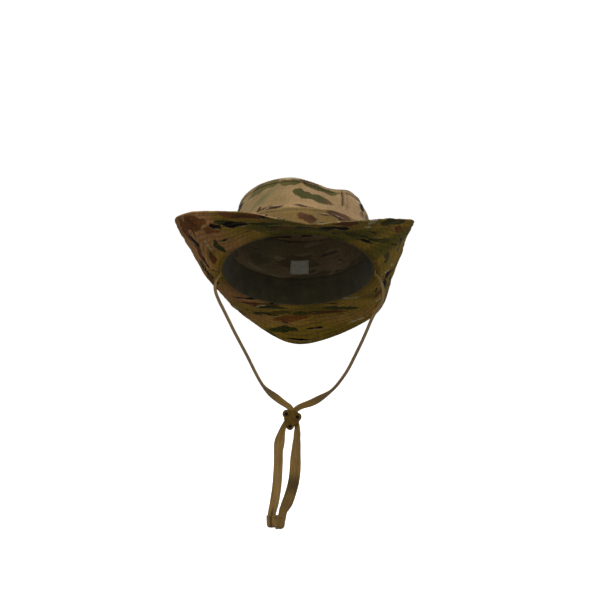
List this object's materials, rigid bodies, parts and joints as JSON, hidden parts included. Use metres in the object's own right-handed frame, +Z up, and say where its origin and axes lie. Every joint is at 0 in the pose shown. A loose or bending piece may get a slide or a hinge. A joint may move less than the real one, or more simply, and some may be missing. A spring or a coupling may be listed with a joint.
{
  "type": "boonie hat",
  "caption": "Wide-brimmed soft field hat with a vented crown, foliage band, inner sweatband and a tape chin strap with a riveted slider; the brim is curled up at the sides.",
  "frame": {"origin": "centre of the head opening, where the wearer's head holds the hat", "axes": "+Z up as the hat is worn, -Y the wearer's front, +X the wearer's left; the hat sits tilted back 22 degrees"},
  "size_m": [0.2619, 0.3029, 0.3888],
  "materials": {
    "camo_cloth": "matt ripstop, camouflage print",
    "camo_cloth_light": "matt ripstop, camouflage print",
    "lining_cloth": "matt",
    "olive_cloth": "matt twill",
    "vent_metal": "matt dark brown paint",
    "vent_mesh": "matt dark wire mesh",
    "strap_tape": "matt woven tape",
    "slider_leather": "satin",
    "rivet_metal": "satin dark",
    "label_cloth": "satin woven, blank"
  },
  "bodies": {
    "hat": {"brim_interlining": "lining_cloth", "brim_top_back": "camo_cloth", "brim_top_front": "camo_cloth", "brim_under_back": "camo_cloth", "brim_under_front": "camo_cloth", "crown_back": "camo_cloth_light", "crown_front": "camo_cloth_light", "crown_top": "camo_cloth_light", "foliage_band": "camo_cloth", "size_label": "label_cloth", "sweatband": "olive_cloth", "top_seam_tape": "camo_cloth_light", "vent_eyelet_back_left": "vent_metal", "vent_eyelet_back_right": "vent_metal", "vent_eyelet_front_left": "vent_metal", "vent_eyelet_front_right": "vent_metal", "vent_screen_back_left": "vent_mesh", "vent_screen_back_right": "vent_mesh", "vent_screen_front_left": "vent_mesh", "vent_screen_front_right": "vent_mesh", "vent_washer_back_left": "vent_metal", "vent_washer_back_right": "vent_metal", "vent_washer_front_left": "vent_metal", "vent_washer_front_right": "vent_metal"},
    "chin_strap": {"chin_strap_right_upper": "strap_tape", "chin_strap_left_upper": "strap_tape", "chin_strap_right_tail": "strap_tape", "chin_strap_left_tail": "strap_tape", "strap_end_tab": "strap_tape"},
    "slider": {"slider_front": "slider_leather", "slider_back": "slider_leather", "slider_rivet_1": "rivet_metal", "slider_rivet_2": "rivet_metal", "slider_rivet_3": "rivet_metal"}
  },
  "joints": [
    {"name": "chin_strap_swing", "type": "hinge", "parent": "hat", "child": "chin_strap", "pos_m": [0, 0, -0.0035], "axis": [1, 0, 0], "range_deg": [-80, 35]},
    {"name": "slider_slide", "type": "slide", "parent": "chin_strap", "child": "slider", "axis": [0, 0, -1], "range_m": [-0.02, 0.07], "deforming": ["chin_strap_right_upper", "chin_strap_left_upper", "chin_strap_right_tail", "chin_strap_left_tail"]}
  ]
}
